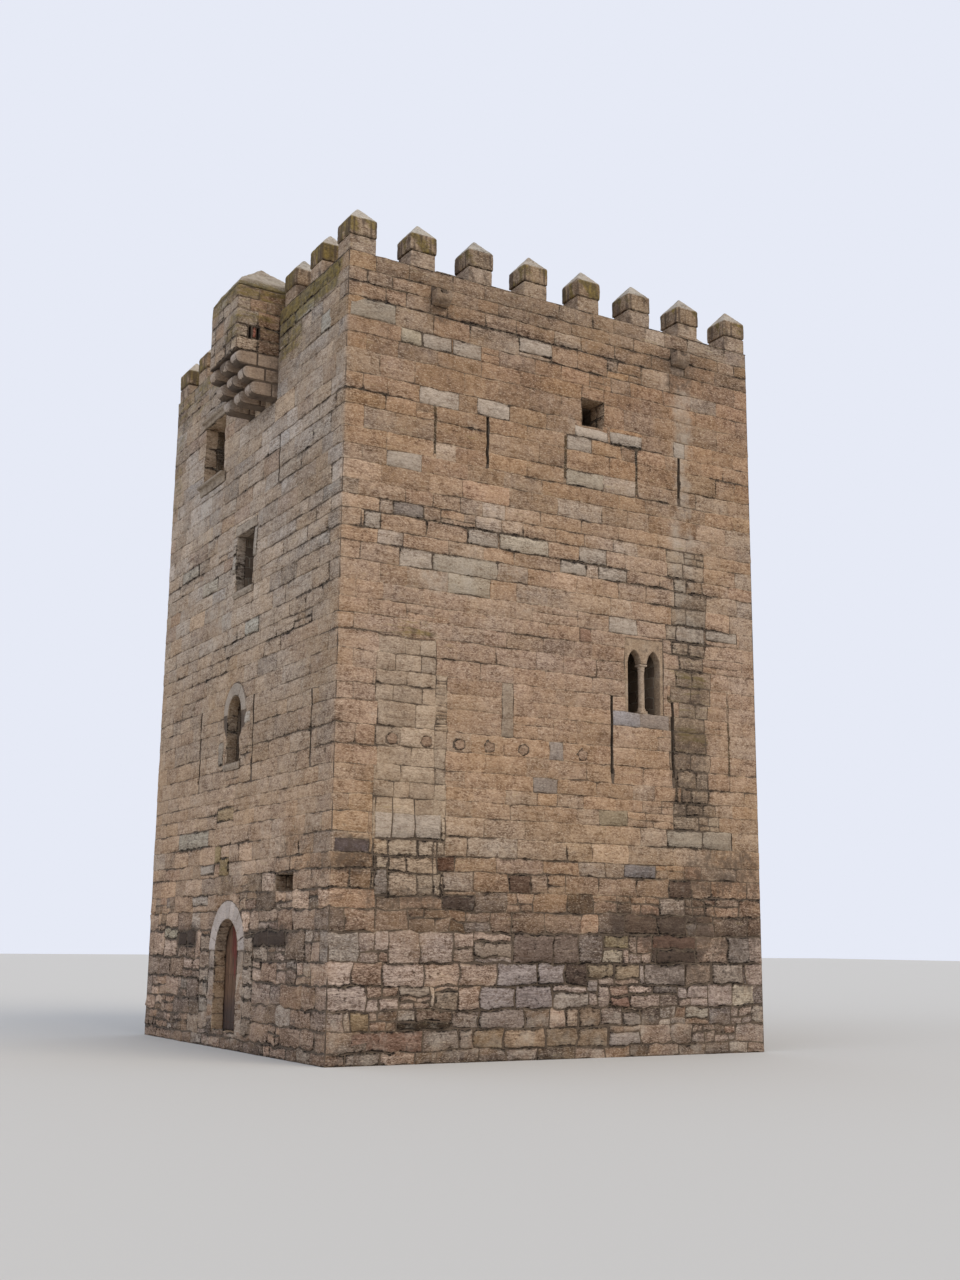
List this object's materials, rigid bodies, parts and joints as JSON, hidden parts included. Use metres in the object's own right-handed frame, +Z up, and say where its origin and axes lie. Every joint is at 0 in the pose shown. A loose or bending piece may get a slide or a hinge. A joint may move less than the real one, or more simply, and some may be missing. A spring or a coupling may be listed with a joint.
{
  "type": "castle keep",
  "caption": "Square stone castle keep with pyramid-capped merlons, arched doorway with a plank door, box machicolation on corbels and a twin lancet window.",
  "frame": {"origin": "middle of the tower's square foot, at the lowest ground level", "axes": "+Z up; the wall with the door faces -Y, the wall with the twin window faces +X"},
  "size_m": [10.86, 11.67, 17.65],
  "materials": {
    "ashlar": "weathered coursed sandstone",
    "cap_stone": "pale lichened sandstone",
    "dressed_stone": "smooth dressed sandstone",
    "paving": "worn paving",
    "floor_oak": "bare oak",
    "door_wood": "worn red paint on planks",
    "wrought_iron": "rusted wrought iron"
  },
  "bodies": {
    "tower": {"front_wall_left": "ashlar", "front_wall_right": "ashlar", "front_wall_over": "ashlar", "door_head": "ashlar", "door_jamb_left": "ashlar", "door_jamb_right": "ashlar", "door_threshold": "ashlar", "door_arch": "dressed_stone", "right_wall": "ashlar", "back_wall": "ashlar", "left_wall": "ashlar", "ground_floor": "paving", "first_floor": "floor_oak", "second_floor": "floor_oak", "third_floor": "floor_oak", "terrace": "paving", "front_parapet": "ashlar", "right_parapet": "ashlar", "back_parapet": "ashlar", "left_parapet": "ashlar", "front_merlons": "ashlar", "right_merlons": "ashlar", "back_merlons": "ashlar", "left_merlons": "ashlar", "front_merlon_caps": "cap_stone", "right_merlon_caps": "cap_stone", "back_merlon_caps": "cap_stone", "left_merlon_caps": "cap_stone", "machicolation_corbels": "ashlar", "machicolation_front": "ashlar", "machicolation_sides": "ashlar", "machicolation_cap": "cap_stone", "lancet_surround": "dressed_stone", "window_trim": "dressed_stone", "moulded_window_head": "dressed_stone", "moulded_window_sill": "dressed_stone", "twin_window_head": "dressed_stone", "twin_window_column": "dressed_stone", "water_spouts": "ashlar", "door_pintles": "wrought_iron"},
    "door": {"door_leaf": "door_wood", "door_straps": "wrought_iron"}
  },
  "joints": [
    {"name": "door_hinge", "type": "hinge", "parent": "tower", "child": "door", "pos_m": [-0.735, -4.963, 1.5], "axis": [0, 0, 1], "range_deg": [0, 90]}
  ]
}
